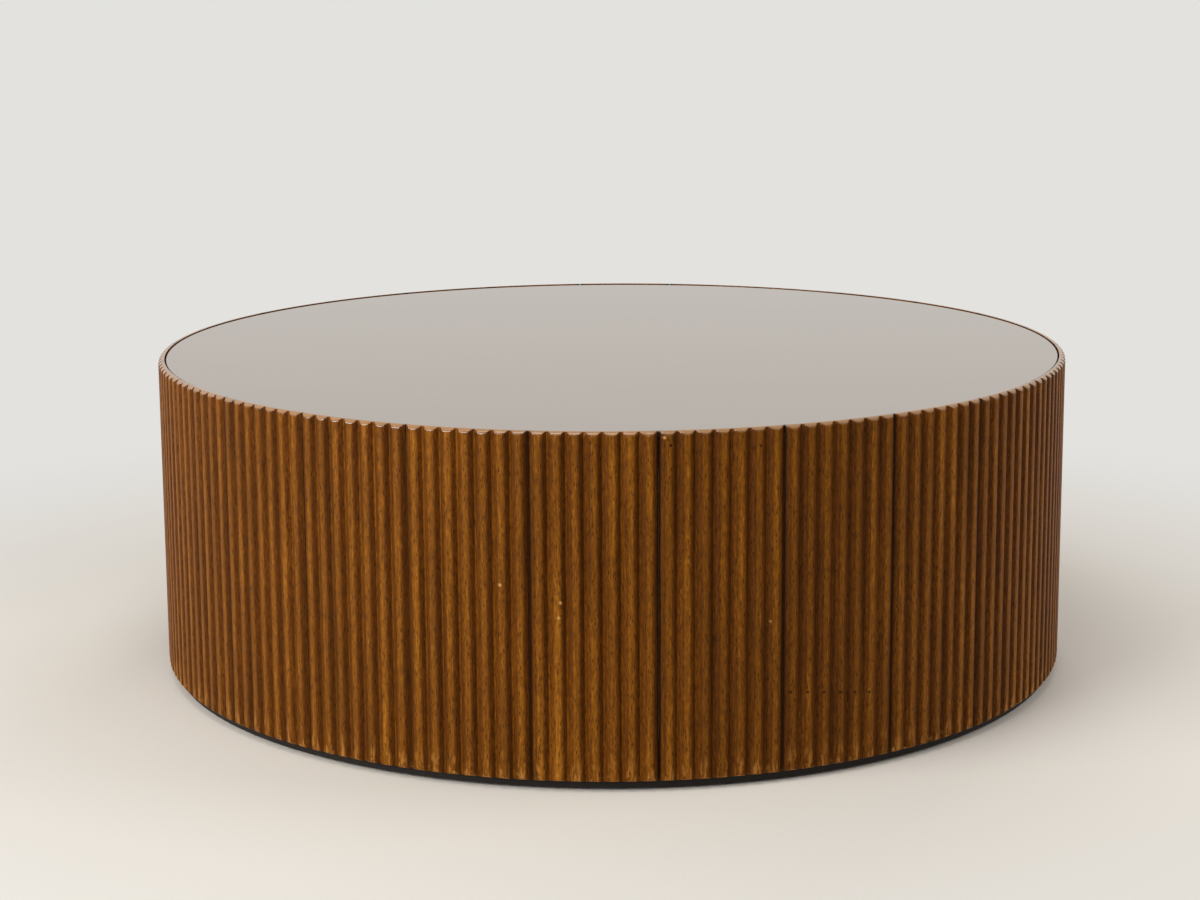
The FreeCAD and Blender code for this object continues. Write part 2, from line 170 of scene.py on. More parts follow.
class DrumWall(bpy.types.PropertyGroup):
    """Sizes and colours of the reeded staves."""
    reeds: IntProperty(name="Reeds", description="Reeds on one stave", default=7)
    reed_depth: length("Reed Depth", "Crown to valley", 4)
    quirk: length("Quirk", "Flat strip between two reeds", 1.2)
    shoulder: length("Shoulder", "Radius between a reed's crown and its flank", 2.5)
    flank_slope: angle("Flank Slope", "Straight flank against the reed's face", 45)
    crown_slope: angle("Crown Slope", "Where the crown runs into its shoulder", 10)
    seam_gap: length("Seam Gap", "Open joint between two staves", 0.9)
    top_round: length("Top Round", "Rounding of the rim's outer edge", 5.5)
    foot_round: length("Foot Round", "Rounding of the lower outer edge", 3.8)
    housing: length("Housing", "How far the top panel and base ring enter a stave", 6)
    housing_ease: length("Housing Ease", "Room above the base ring", 0.2)
    mirror_room: length("Mirror Room", "Gap round the mirror's edge", 1.4)
    spline_inset: length("Spline Inset", "Reed valley to the middle of the spline slot", 6.5)
    spline_slot: length("Spline Slot", "Thickness of the spline slot", 4.3)
    spline_reach: length("Spline Reach", "Seam to the end of the spline slot", 7.15)
    spline_stop: length("Spline Stop", "Spline slot's end to the nearest housing", 11.85)
    unevenness: length("Unevenness", "Most that a hand-scraped reed lies back", 0.25)
    nick_depth: length("Nick Depth", "Deepest nick along the lower and upper edges", 0.7)
    dent_radius: length("Dent Radius", "Reach of a knock in a crown", 2.4)
    dent_depth: length("Dent Depth", "Depth of a knock in a crown", 1.1)
    dark: tint("Dark Grain", "Darkest streaks of the stained wood", "3A2106")
    middle: tint("Middle Grain", "Main tone of the stained wood", "73430A")
    light: tint("Light Grain", "Lightest streaks of the stained wood", "AE701C")
    # Multiplied over the wood in the reeds' hollows, which it darkens; less of it on the strip between two reeds
    hollow_darkening: tint("Hollow Darkening", "Dark stain left in the hollows, over the wood", "C3B6A5")
    # Partly painted light: the rim's pale tone stands for rubbed finish and also for the light and reflection the
    # up-facing rim catches
    rim: tint("Rim", "Pale wood where the rim is rubbed", "9E7448")
    # Also the painted shade along the seams
    pore_and_seam_shade: tint("Pores and Seam Shade", "Open pores filled with stain", "1E0F04")
    # Also the painted light along the foot's rounding
    worn_and_foot_light: tint("Worn Finish and Foot Light", "Where the finish is rubbed thin", "A06A2E")
    bare: tint("Bare Wood", "Chipped spots and unfinished backs", "C18C4B")


class DrumMirror(bpy.types.PropertyGroup):
    """Sizes and colours of the loose mirror."""
    arris: length("Arris", "Ground-off corner of the glass", 0.8)
    silver: tint("Silvering", "Reflection of the bronze-tinted mirror", "B3A59A")
    edge: tint("Edge", "Ground edge of the tinted glass", "5B4F44")
    backing: tint("Backing", "Paint over the silvering", "565C5A")


class DrumJoinery(bpy.types.PropertyGroup):
    """Sizes and colours of the pieces behind and below the wall."""
    screw_head: length("Screw Head", "Diameter of a countersunk head", 8)
    screw_shank: length("Screw Shank", "Diameter of a screw", 4)
    screw_head_depth: length("Head Depth", "Depth of a countersunk head", 2.6)
    screw_point: length("Screw Point", "Length of a screw's point", 5)
    batten_screw: length("Batten Screw", "A batten's inner screw to the drum's axis", 150)
    plinth_circle: length("Plinth Circle", "Radius on which the plinth's screws stand", 461)
    plinth_pair: length("Plinth Pair", "Between a plinth segment's screw and its middle", 40)
    nail_head: length("Nail Head", "Diameter of a glide nail's head", 6.4)
    nail_shank: length("Nail Shank", "Diameter of a glide nail", 2.4)
    nail_head_thickness: length("Nail Head Thickness", "Thickness of a glide nail's head", 1)
    nail_point: length("Nail Point", "Length of a glide nail's point", 2)
    glide: length("Glide", "Diameter of a glide", 24)
    felt_dot: length("Felt Dot", "Diameter of a felt dot", 20)
    veneer: tint("Plywood Face", "Birch face veneer", "CDAE82")
    inner_ply: tint("Plywood Core", "Darker plies in a plywood edge", "9A744A")
    pine: tint("Pine", "Early wood of the battens", "D9B47C")
    pine_ring: tint("Pine Rings", "Late wood of the battens", "B07F45")
    beech: tint("Beech", "Turned dowels", "C99A6B")
    # Partly painted shade: black stain made darker than it would look lit, so that the gap under the wall reads as
    # shadow
    black_stain_and_shade: tint("Black Stain and Shade", "Blackened plinth", "0B0603")
    zinc: tint("Zinc", "Plated screws and nails", "B9B7AE")
    nylon: tint("Nylon", "Moulded glides", "D8D3C6")
    felt: tint("Felt", "Pressed felt dots", "4B4743")


class DrumStage(bpy.types.PropertyGroup):
    """Floor, light and camera."""
    floor: tint("Floor", "Matt floor", "DCD6CC")
    background: tint("Background", "Backdrop as the camera and the mirror see it", "E3E2DF")
    sky: FloatProperty(name="Sky", description="Even light from all round", default=0.34)
    window: power("Window", "Softbox on the front left", 94)
    side: power("Side", "Softbox on the right, not seen in the lacquer", 39)
    overhead: power("Overhead", "Softbox above", 18)
    behind: power("Behind", "Softbox behind, not seen in the mirror", 36)
    lens: FloatProperty(name="Lens", description="Focal length on a 36 mm sensor", default=70.262)
    distance: length("Distance", "Camera to the drum's axis, level", 2766.6)
    height: length("Height", "Camera above the floor", 822.1)
    bearing: angle("Bearing", "Camera round from the front stave", 2.0314)
    pitch: angle("Pitch", "Camera's downward tilt", 9.8308)
    yaw: angle("Yaw", "Camera's turn from the drum's axis", 0.067)
    roll: angle("Roll", "Camera's lean", -0.2779)
    shift: FloatVectorProperty(name="Shift", description="How far the frame lies off the lens's axis",
                               default=(-0.0122, -0.0713), size=2)


# Node trees

def fill(node, sockets):
    """Fills a node's sockets, named or in order; each takes a value, a node or a node's output."""
    for key, value in sockets.items() if isinstance(sockets, dict) else enumerate(sockets):
        socket = node.inputs[key]
        if isinstance(key, str):
            socket = next(s for s in node.inputs if s.name == key and s.enabled)
        if isinstance(value, bpy.types.Node):
            value = next(s for s in value.outputs if s.enabled)
        if isinstance(value, bpy.types.NodeSocket):
            node.id_data.links.new(value, socket)
        else:
            socket.default_value = value
    return node


def add(tree, kind, sockets=(), operation=None, **settings):
    """Adds a node with its operation and other settings, and fills its sockets."""
    node = tree.nodes.new(kind)
    if operation:
        settings["operation"] = operation
    for name, value in settings.items():
        setattr(node, name, value)
    return fill(node, sockets)


def shape_tree(name, **inputs):
    """Empty geometry tree with inputs of each kind; gives it, the function that adds its nodes, and its inputs."""
    tree = bpy.data.node_groups.new(name, "GeometryNodeTree")
    tree.interface.new_socket("Geometry", in_out="OUTPUT", socket_type="NodeSocketGeometry")
    for kind, labels in inputs.items():
        for label in labels:
            tree.interface.new_socket(label, in_out="INPUT", socket_type="NodeSocket" + kind)
    put = partial(add, tree)
    return tree, put, {s.name: s for s in put("NodeGroupInput").outputs}


def shaped(name, tree, points, values, traits=None):
    """Runs a geometry tree on a list of points and gives the result as a plain mesh object."""
    rule = bpy.data.meshes.new(name)
    rule.from_pydata(points, [], [])
    for trait, numbers in (traits or {}).items():
        rule.attributes.new(trait, "FLOAT", "POINT").data.foreach_set("value", numbers)
    piece = bpy.data.objects.new(name, rule)
    bpy.context.scene.collection.objects.link(piece)
    modifier = piece.modifiers.new("shape", "NODES")
    modifier.node_group = tree
    for item in tree.interface.items_tree:
        if item.in_out == "INPUT" and item.name in values:
            modifier[item.identifier] = values[item.name]
    depsgraph = bpy.context.evaluated_depsgraph_get()
    mesh = bpy.data.meshes.new_from_object(piece.evaluated_get(depsgraph), preserve_all_data_layers=True,
                                           depsgraph=depsgraph)
    if not mesh.polygons:
        raise RuntimeError(f"{name} came out empty")
    piece.modifiers.remove(modifier)
    piece.data = mesh
    bpy.data.meshes.remove(rule)
    mesh.name = name
    mesh.set_sharp_from_angle(angle=SHARP_ANGLE)
    return piece


def point_set(name, places):
    """Helper object with a point at each place, dropped after use."""
    mesh = bpy.data.meshes.new(name)
    mesh.from_pydata(places, [], [])
    helper = bpy.data.objects.new(name, mesh)
    bpy.context.scene.collection.objects.link(helper)
    return helper


def drop(helper):
    """Deletes a helper object and its mesh."""
    mesh = helper.data
    bpy.data.objects.remove(helper)
    bpy.data.meshes.remove(mesh)


def tube(put, columns, rows, ends):
    """Upright tube whose points are moved later; gives it, and each point's number, its share in rows and its row."""
    steps = put(MATH, [rows, 1.0], "SUBTRACT")
    shell = put("GeometryNodeMeshCylinder", {"Vertices": columns, "Side Segments": steps}, fill_type=ends)
    index = put("GeometryNodeInputIndex")
    share = put(MATH, [index, columns], "DIVIDE")
    return shell, index, share, put(MATH, [share], "FLOOR")


def painted(put, given, shape, faces):
    """Ends a tree with each of its materials on some faces, the later ones over the earlier."""
    for label, chosen in faces.items():
        shape = put("GeometryNodeSetMaterial", {"Geometry": shape, "Selection": chosen, "Material": given[label]})
    put("NodeGroupOutput", [shape])


def turned_tree():
    """Turns a half section round its own axis and sets one at each place; ends in plain faces with materials.
    The object's points are the section, as (radius, 0, height), from the top down."""
    tree, put, given = shape_tree(
        "turned_piece", Geometry=["Section"], Object=["Places"], Int=["Segments"],
        Float=["Recess Length", "Recess Width", "Recess Depth", "Recess Height"],
        Material=["Material", "Edge Material", "Under Material"])
    section, segments = given["Section"], given["Segments"]
    rows = put("GeometryNodeAttributeDomainSize", {"Geometry": section}).outputs["Point Count"]
    shell, _, share, row = tube(put, segments, rows, "NONE")
    turn = put(MATH, [share], "FRACT")
    full = put(MATH, [turn, 2 * math.pi], "MULTIPLY")
    position = put("GeometryNodeInputPosition")
    spot = put(SAMPLE, {"Geometry": section, "Value": position, "Index": row}, data_type="FLOAT_VECTOR")
    lying = put(ROTATE, {"Vector": spot, "Angle": full}, rotation_type="Z_AXIS")
    formed = put("GeometryNodeSetPosition", {"Geometry": shell, "Position": lying})
    closed = put("GeometryNodeMergeByDistance", {"Geometry": formed, "Distance": MERGE})

    wide = put(MATH, [given["Recess Depth"], 2.0], "MULTIPLY")
    arms = put("GeometryNodeJoinGeometry")
    for first, second in (("Recess Length", "Recess Width"), ("Recess Width", "Recess Length")):
        size = put(COMBINE, {"X": given[first], "Y": given[second], "Z": wide})
        fill(arms, {"Geometry": put("GeometryNodeMeshCube", {"Size": size})})
    lift = put(COMBINE, {"Z": given["Recess Height"]})
    driven = put("GeometryNodeTransform", {"Geometry": arms, "Translation": lift})
    cut = put("GeometryNodeMeshBoolean", {"Mesh 1": closed, "Mesh 2": driven, "Self Intersection": True},
              "DIFFERENCE", solver="EXACT")
    has_recess = put(COMPARE, {"A": given["Recess Depth"], "B": 0.0}, "GREATER_THAN")
    whole = put("GeometryNodeSwitch", {"Switch": has_recess, "False": closed, "True": cut}, input_type="GEOMETRY")
    smooth = put("GeometryNodeSetShadeSmooth", {"Geometry": whole, "Shade Smooth": True})

    places = put("GeometryNodeObjectInfo", {"Object": given["Places"]}).outputs["Geometry"]
    copies = put("GeometryNodeInstanceOnPoints", {"Points": places, "Instance": smooth})
    shape = put("GeometryNodeRealizeInstances", {"Geometry": copies})
    normal = put(SPLIT, [put("GeometryNodeInputNormal")]).outputs["Z"]
    upright = put(MATH, [normal], "ABSOLUTE")
    side = put(COMPARE, {"A": upright, "B": LEVEL}, "LESS_THAN")
    under = put(COMPARE, {"A": normal, "B": -LEVEL}, "LESS_THAN")
    painted(put, given, shape, {"Material": True, "Edge Material": side, "Under Material": under})
    return tree


def stave_tree():
    """Sweeps the stave's outline up its height, one seeded board at a time.
    The object's points are the rows from the top down, as (outer limit, back, height), and then the columns
    round the outline, as (radius, angle from the stave's middle, shift where the spline slot is open)."""
    tree, put, given = shape_tree(
        "reeded_stave", Geometry=["Outline"], Int=["Rows", "Board"], Object=["Knocks", "Chips"],
        Float=["Turn", "Unevenness", "Nick Depth", "Foot", "Top", "Knock Radius", "Knock Depth", "Half Pitch",
               "Left Seam Shade", "Right Seam Shade"],
        Material=["Material", "Rim Material"])
    outline, rows = given["Outline"], given["Rows"]
    total = put("GeometryNodeAttributeDomainSize", {"Geometry": outline}).outputs["Point Count"]
    columns = put(MATH, [total, rows], "SUBTRACT")
    shell, index, _, row = tube(put, columns, rows, "NGON")
    before = put(MATH, [row, columns], "MULTIPLY")
    column = put(MATH, [index, before], "SUBTRACT")
    column_point = put(MATH, [column, rows], "ADD")
    position = put("GeometryNodeInputPosition")
    sampled = {}
    for name, where in (("row", row), ("column", column_point)):
        spot = put(SAMPLE, {"Geometry": outline, "Value": position, "Index": where}, data_type="FLOAT_VECTOR")
        sampled[name] = put(SPLIT, [spot])
    for name, where in (("round_back", row), ("slot_open", row), ("is_back", column_point),
                        ("is_seam", column_point), ("reed", column_point), ("across", column_point)):
        trait = put("GeometryNodeInputNamedAttribute", {"Name": name})
        sampled[name] = put(SAMPLE, {"Geometry": outline, "Value": trait, "Index": where})
    limit, back, height = sampled["row"].outputs
    radius, spread, shift = sampled["column"].outputs

    shy = put("FunctionNodeRandomValue",
              {"Min": 0.0, "Max": given["Unevenness"], "ID": sampled["reed"], "Seed": given["Board"]})
    scraped = put(MATH, [radius, shy], "SUBTRACT")
    outer = put(MATH, [scraped, limit], "MINIMUM")
    slope = put(MATH, [spread], "COSINE")
    flat = put(MATH, [back, slope], "DIVIDE")
    inner = put(MIX, {"Factor": sampled["round_back"], "A": flat, "B": back})
    seam = put(MATH, [radius, inner], "MAXIMUM")
    side = put(MIX, {"Factor": sampled["is_seam"], "A": outer, "B": seam})
    reach = put(MIX, {"Factor": sampled["is_back"], "A": side, "B": inner})
    opened = put(MATH, [shift, sampled["slot_open"]], "MULTIPLY")
    bearing = put(MATH, [spread, opened], "ADD")
    direction = put(MATH, [bearing, given["Turn"]], "ADD")
    lying = put(COMBINE, {"X": reach, "Z": height})
    base = put(ROTATE, {"Vector": lying, "Angle": direction}, rotation_type="Z_AXIS")

    # Nicks along the edges, knocks and chips: how strong each is at a point, and how far it sinks it
    hidden = put(MATH, [sampled["is_back"], sampled["is_seam"]], "MAXIMUM")
    shown = put(MATH, [1.0, hidden], "SUBTRACT")
    off_foot = put(MATH, [height, given["Foot"]], "SUBTRACT")
    off_top = put(MATH, [given["Top"], height], "SUBTRACT")
    edges = [put(RANGE, {"Value": off, "From Max": wear, "To Min": most, "To Max": 0.0},
                 interpolation_type="SMOOTHSTEP")
             for off, wear, most in ((off_foot, FOOT_WEAR, 1.0), (off_top, TOP_WEAR, TOP_WEAR_SHARE))]
    edge = put(MATH, edges, "MAXIMUM")
    crumbs = put(NOISE, {"Vector": base, "Scale": 1 / NICK_SIZE, "Detail": 2.0, "Roughness": 0.6})
    nick = put(RANGE, {"Value": crumbs, "From Min": 0.6, "From Max": 0.74})
    edge_shown = put(MATH, [edge, shown], "MULTIPLY")
    marks = {"nick": put(MATH, [nick, edge_shown], "MULTIPLY")}
    sunk = put(MATH, [marks["nick"], given["Nick Depth"]], "MULTIPLY")
    for name, label in (("knock", "Knocks"), ("chip", "Chips")):
        spots = put("GeometryNodeObjectInfo", {"Object": given[label]}).outputs["Geometry"]
        nearest = put("GeometryNodeProximity", {"Geometry": spots, "Sample Position": base}, target_element="POINTS")
        pit = put(RANGE, {"Value": nearest.outputs["Distance"], "From Max": given["Knock Radius"],
                          "To Min": 1.0, "To Max": 0.0}, interpolation_type="SMOOTHSTEP")
        marks[name] = put(MATH, [pit, shown], "MULTIPLY")
        sunk = put(MATH, [marks[name], given["Knock Depth"], sunk], "MULTIPLY_ADD")
    final_reach = put(MATH, [reach, sunk], "SUBTRACT")
    final_lying = put(COMBINE, {"X": final_reach, "Z": height})
    final = put(ROTATE, {"Vector": final_lying, "Angle": direction}, rotation_type="Z_AXIS")

    # What the materials read: painted shade by the seams, the board's own number, place on the reed,
    # easing of the edges
    off_middle = put(MATH, [bearing], "ABSOLUTE")
    off_seam = put(MATH, [given["Half Pitch"], off_middle], "SUBTRACT")
    arc = put(MATH, [off_seam, radius], "MULTIPLY")
    # Painted shade along each seam: full by the seam, fading off it, as dark as that seam's share
    beside = put(RANGE, {"Value": arc, "From Min": SEAM_SHADE_FULL, "From Max": SEAM_SHADE_END, "To Min": 1.0, "To Max": 0.0},
                 interpolation_type="SMOOTHSTEP")
    on_right = put(MATH, [bearing, 0.0], "GREATER_THAN")
    seam_shade = put(MIX, {"Factor": on_right, "A": given["Left Seam Shade"], "B": given["Right Seam Shade"]})
    marks["joint"] = put(MATH, [beside, seam_shade], "MULTIPLY")
    same = put("FunctionNodeInputInt", integer=0)  # all the board's points draw the same number
    marks["board"] = put("FunctionNodeRandomValue", {"Min": 0.0, "Max": 1.0, "ID": same, "Seed": given["Board"]})
    marks["hollow"] = sampled["across"]
    cut_off = put(MATH, [scraped, limit], "SUBTRACT")
    eased = put(RANGE, {"Value": cut_off, "From Max": RIM_CUT})
    eased = put(MATH, [eased, shown], "MULTIPLY")
    flush = put(MATH, [off_top, RIM_LAND], "LESS_THAN")
    marks["eased"] = put(MATH, [eased, flush], "MAXIMUM")
    shape = shell
    for name, value in marks.items():
        shape = put("GeometryNodeStoreNamedAttribute", {"Geometry": shape, "Name": name, "Value": value})
    shape = put("GeometryNodeSetPosition", {"Geometry": shape, "Position": final})
    shape = put("GeometryNodeSetShadeSmooth", {"Geometry": shape, "Shade Smooth": shell.outputs["Side"]})
    shape = put("GeometryNodeMergeByDistance", {"Geometry": shape, "Distance": MERGE})
    shape = put("GeometryNodeRealizeInstances", {"Geometry": shape})
    placed = put(SPLIT, [position]).outputs["Z"]
    depth = put(MATH, [given["Top"], placed], "SUBTRACT")
    land = put(COMPARE, {"A": depth, "B": RIM_LAND}, "LESS_THAN")
    upper = put(COMPARE, {"A": depth, "B": RIM_BAND}, "LESS_THAN")
    stored = put("GeometryNodeInputNamedAttribute", {"Name": "eased"})
    bent = put(COMPARE, {"A": stored, "B": RIM_EASED}, "GREATER_THAN")
    bent = put("FunctionNodeBooleanMath", [bent, upper], "AND")
    rim = put("FunctionNodeBooleanMath", [land, bent], "OR")
    painted(put, given, shape, {"Material": True, "Rim Material": rim})
    return tree


# Materials

def blank(name):
    """New material, the function that adds its nodes, its shader and its Object coordinates."""
    material = bpy.data.materials.new(name)
    material.use_nodes = True
    material.node_tree.nodes.clear()
    put = partial(add, material.node_tree)
    shader = put("ShaderNodeBsdfPrincipled")
    put("ShaderNodeOutputMaterial", {"Surface": shader})
    return material, put, shader, put("ShaderNodeTexCoord").outputs["Object"]


def pattern(put, place, kind, size, **sockets):
    """Texture whose grains measure size, in millimetres along X, Y and Z."""
    scaled = put(VECTOR, [place, [s * MM for s in size]], "DIVIDE")
    return put(kind, {"Vector": scaled, "Scale": 1.0, **sockets})


def ramp(put, value, stops):
    """Colour ramp through (place, colour) stops."""
    node = put("ShaderNodeValToRGB", {"Fac": value})
    elements = node.color_ramp.elements
    elements[0].position, elements[0].color = stops[0]
    elements[1].position, elements[1].color = stops[-1]
    for spot, shade in stops[1:-1]:
        elements.new(spot).color = shade
    return node


def surface(put, shader, shade, relief, rough, sockets=None):
    """Gives a shader its colour, a relief of (height, strength, depth in mm) and roughness of (value, low, high)."""
    bump = put("ShaderNodeBump", {"Height": relief[0], "Strength": relief[1], "Distance": relief[2] * MM})
    gloss = put(RANGE, {"Value": rough[0], "To Min": rough[1], "To Max": rough[2]})
    fill(shader, {"Base Color": shade, "Normal": bump, "Roughness": gloss, **(sockets or {})})


def stained_mahogany(name, wall, rubbed_and_lit_share, lacquer):
    """Mahogany run through a moulder, stained brown and lacquered: streaks along the grain, short dark pores,
    darker in the hollows, finish rubbed thin along the foot, painted shade along the seams, painted light along
    the foot's rounding, and on the rim, by a share, a pale tone that is partly rubbed finish and partly painted
    light."""
    material, put, shader, place = blank(name)
    marks = {key: put("ShaderNodeAttribute", attribute_name=key).outputs["Fac"]
             for key in ("board", "hollow", "eased", "nick", "chip", "knock", "joint")}
    # Each board is cut from another place in the pattern.
    own = put(VECTOR, [marks["board"], (3.1, 5.3, 7.7), place], "MULTIPLY_ADD")
    cloud = pattern(put, own, NOISE, (24, 24, 260), Detail=2.0)
    streak = pattern(put, own, NOISE, (3.2, 3.2, 80), Detail=3.0, Roughness=0.6)
    # Real fibres and pores are 0.1 to 0.2 mm wide: these are drawn 1 to 2 mm wide so that they show.
    fibre = pattern(put, own, NOISE, (1.5, 1.5, 9), Detail=2.0, Roughness=0.7)
    pores = pattern(put, own, "ShaderNodeTexVoronoi", (2.2, 2.2, 9), Randomness=1.0)
    fleck = pattern(put, own, NOISE, (2.2, 2.2, 16), Detail=1.0)
    rubbing = pattern(put, own, NOISE, (3, 3, 16), Detail=3.0)
    tone = 0.02
    for grain, weight in ((cloud, 0.35), (streak, 0.3), (fibre, 0.58), (marks["board"], 0.06)):
        tone = put(MATH, [grain, weight, tone], "MULTIPLY_ADD")
    wood = ramp(put, tone, [(0.36, wall.dark), (0.68, wall.middle), (1.0, wall.light)])

    level = put(VECTOR, [place, (1, 1, 0)], "MULTIPLY")
    radius = put(VECTOR, [level], "LENGTH").outputs["Value"]
    height = put(SPLIT, [place]).outputs["Z"]
    across, eased = marks["hollow"], marks["eased"]
    polish = 0.3 * rubbed_and_lit_share
    shares = {}
    for key, style, value, start, end, at_start, at_end in (
            ("slit", "LINEAR", pores.outputs["Distance"], 0.18, 0.3, 1.0, 0.0),
            ("fleck", "LINEAR", fleck, 0.56, 0.62, 0.0, 0.22),
            ("rubbed", "LINEAR", rubbing, 0.52, 0.58, 0.0, 0.8),
            ("gloss", "LINEAR", fibre, 0.3, 0.7, 0.42 - polish, 0.52 - polish),
            ("hollow_darkening", "SMOOTHSTEP", across, 0.15, 0.48, 0.0, 1.0 - rubbed_and_lit_share),
            ("quirk_lighter", "SMOOTHSTEP", across, 0.84, 0.93, 1.0, 0.55),  # the strip between two reeds
            ("crown", "SMOOTHSTEP", across, 0.3, 0.7, 1.0, 0.0),
            ("low", "SMOOTHSTEP", height, WALL_FOOT, WALL_FOOT + FOOT_RUBBED, 1.0, 0.0),
            # The rim's pale tone: partly rubbed finish, partly painted light
            ("rim_wear_and_light", "SMOOTHSTEP", eased, 0.3, 0.6, 0.0, rubbed_and_lit_share)):
        shares[key] = put(RANGE, {"Value": value, "From Min": start, "From Max": end, "To Min": at_start,
                                  "To Max": at_end}, interpolation_type=style)
    chosen = put("ShaderNodeSeparateColor", {"Color": pores.outputs["Color"]})
    present = put(MATH, [chosen, 0.25], "GREATER_THAN")  # a quarter of the cells hold no pore
    behind = CROWN_RADIUS - wall.reed_depth - RAW_BEHIND
    shares["raw"] = put(MATH, [radius, behind], "LESS_THAN")
    under_rim = put(MATH, [height, TOP_PANEL[1].z], "LESS_THAN")
    for key, first, second in (
            ("slit", "slit", present), ("pored", "slit", 0.65), ("hollow_darkening", "hollow_darkening", shares["quirk_lighter"]),
            ("rubbed", "rubbed", shares["low"]), ("rubbed", "rubbed", shares["crown"]), ("painted_foot_light", "low", eased),
            ("raw", "raw", under_rim)):
        shares[key] = put(MATH, [shares[first], second], "MULTIPLY")
    # Painted light: a pale line along the foot's rounding, standing for light bounced up from the floor
    painted_foot_light = put(RANGE, {"Value": shares["painted_foot_light"], "From Min": 0.05, "From Max": 0.5, "To Max": 0.6},
              interpolation_type="SMOOTHSTEP")

    layers = [(shares["pored"], wall.pore_and_seam_shade, "MIX"), (shares["fleck"], wall.dark, "MIX"),
              (shares["hollow_darkening"], wall.hollow_darkening, "MULTIPLY"), (shares["rubbed"], wall.worn_and_foot_light, "MIX"),
              (painted_foot_light, wall.worn_and_foot_light, "MIX"), (shares["rim_wear_and_light"], wall.rim, "MIX")]
    # Nicks and chips show bare wood and knocks are dark; joint is painted shade along the seams
    for key, shade, strength in (("nick", wall.bare, 0.8), ("chip", wall.bare, 1.3), ("knock", wall.pore_and_seam_shade, 1.2),
                                 ("joint", wall.pore_and_seam_shade, 1.0)):
        share = put(MATH, [marks[key], strength], "MULTIPLY", use_clamp=True)
        layers.append((share, shade, "MIX"))
    sawn = put(MIX, {"Factor": streak, "A": wall.worn_and_foot_light, "B": wall.bare}, data_type="RGBA")
    layers.append((shares["raw"], sawn, "MIX"))
    for share, shade, blend in layers:
        wood = put(MIX, {"Factor": share, "A": wood, "B": shade}, data_type="RGBA", blend_type=blend)

    dull = put(MATH, [shares["raw"], 0.35, shares["gloss"]], "MULTIPLY_ADD")
    relief = put(MATH, [shares["slit"], -0.8, fibre], "MULTIPLY_ADD")
    bump = put("ShaderNodeBump", {"Strength": 0.5, "Distance": 0.12 * MM, "Height": relief})
    fill(shader, {"Base Color": wood, "Roughness": dull, "Normal": bump, **lacquer})
    return material


def bronze_mirror(mirror):
    """Float glass tinted bronze and silvered behind: a clean brown-grey reflection with faint wipe marks."""
    material, put, shader, place = blank("bronze_mirror_silvered_glass")
    haze = pattern(put, place, NOISE, (180, 60, 60), Detail=3.0)
    gloss = put(RANGE, {"Value": haze, "From Min": 0.35, "From Max": 0.75, "To Min": 0.012, "To Max": 0.045})
    shade = ramp(put, haze, [(0.3, mirror.silver), (0.8, dimmed(mirror.silver, 0.97))])
    fill(shader, {"Base Color": shade, "Roughness": gloss, "Metallic": 1.0})
    return material


def ground_edge(mirror):
    """Glass edge ground on a wheel: dark bronze with fine lines round the disc."""
    material, put, shader, place = blank("bronze_glass_ground_edge")
    lines = pattern(put, place, NOISE, (40, 40, 0.4), Detail=2.0)
    shade = ramp(put, lines, [(0.3, dimmed(mirror.edge, 0.7)), (0.7, mirror.edge)])
    bump = put("ShaderNodeBump", {"Strength": 0.3, "Distance": 0.05 * MM, "Height": lines})
    fill(shader, {"Base Color": shade, "Normal": bump, "Roughness": 0.28})
    return material


def plain_wood(name, tones, size, rough, sockets=None):
    """Unfinished or stained wood with grain of a given size in millimetres along X, Y and Z."""
    material, put, shader, place = blank(name)
    grain = pattern(put, place, NOISE, size, Detail=4.0, Roughness=0.6, Distortion=0.4)
    fleck = pattern(put, place, NOISE, [s / 6 for s in size], Detail=2.0)
    mixed = put(MATH, [fleck, 0.3, grain], "MULTIPLY_ADD")
    shade = ramp(put, mixed, [(0.5, tones[0]), (0.8, tones[1])])
    surface(put, shader, shade, (mixed, 0.4, 0.15), (fleck, rough - 0.08, rough + 0.08), sockets)
    return material


def birch_plywood(joinery):
    """Birch plywood: rotary-cut face veneer, and plies that show as stripes round every edge."""
    material, put, shader, place = blank("birch_plywood_sanded")
    face = pattern(put, place, NOISE, (14, 160, 14), Detail=4.0, Distortion=0.6)
    veneer = ramp(put, face, [(0.3, dimmed(joinery.veneer, 0.8)), (0.7, joinery.veneer)])
    height = put(SPLIT, [place]).outputs["Z"]
    ply = put(MATH, [height, PLY], "PINGPONG")
    layer = put(MATH, [ply, PLY / 2], "GREATER_THAN")
    stripes = put(MIX, {"Factor": layer, "A": joinery.veneer, "B": joinery.inner_ply}, data_type="RGBA")
    normal = put(SPLIT, [put("ShaderNodeNewGeometry").outputs["Normal"]])
    upright = put(MATH, [normal.outputs["Z"]], "ABSOLUTE")
    on_edge = put(MATH, [upright, ON_EDGE], "LESS_THAN")
    shade = put(MIX, {"Factor": on_edge, "A": veneer, "B": stripes}, data_type="RGBA")
    surface(put, shader, shade, (face, 0.3, 0.1), (face, 0.6, 0.8))
    return material


def speckled(name, shade, size, rough, sockets, spread=0.8):
    """Even finish with fine speckle of a given size in millimetres."""
    material, put, shader, place = blank(name)
    speck = pattern(put, place, NOISE, (size, size, size), Detail=3.0, Roughness=0.65)
    tones = ramp(put, speck, [(0.3, dimmed(shade, spread)), (0.7, shade)])
    surface(put, shader, tones, (speck, 0.4, 0.1), (speck, rough - 0.1, rough + 0.1), sockets)
    return material


def coat(material, *nodes):
    """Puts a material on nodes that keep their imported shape."""
    for node in nodes:
        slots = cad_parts[node].data.materials
        slots.clear()
        slots.append(material)


def settle(piece, body, slot, *nodes):
    """Joins a finished piece to its body and hides the nodes that it stands for; its material slot is not used."""
    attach(piece, body)
    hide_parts(*nodes)


# Outline of a stave

